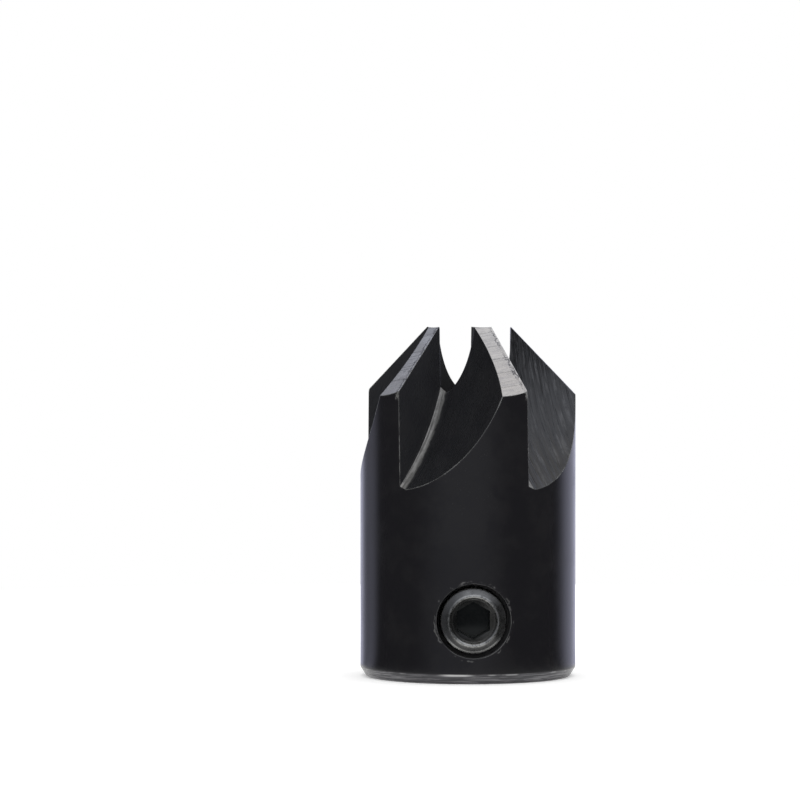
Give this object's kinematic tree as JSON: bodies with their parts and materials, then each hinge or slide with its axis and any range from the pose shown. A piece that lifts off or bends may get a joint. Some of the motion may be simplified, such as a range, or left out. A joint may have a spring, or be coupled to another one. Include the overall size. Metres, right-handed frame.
{
  "type": "drill countersink",
  "caption": "Slip-on countersink that slides over a twist drill, with relief-ground cutting teeth, a through bore and a clamping set screw.",
  "frame": {"origin": "centre of the flat bottom face, on the bore's axis", "axes": "+Z along the bore axis towards the cutting teeth; the set screw points towards -Y"},
  "size_m": [0.02, 0.02, 0.0325],
  "materials": {
    "body_black_oxide": "black oxide, satin, with bright ground lands",
    "screw_black_oxide": "black oxide, satin"
  },
  "bodies": {
    "sleeve": {"countersink_body": "body_black_oxide"},
    "screw": {"set_screw": "screw_black_oxide"}
  },
  "joints": [
    {"name": "set_screw_travel", "type": "slide", "parent": "sleeve", "child": "screw", "axis": [0, -1, 0], "range_m": [-0.0005, 0.005]}
  ]
}
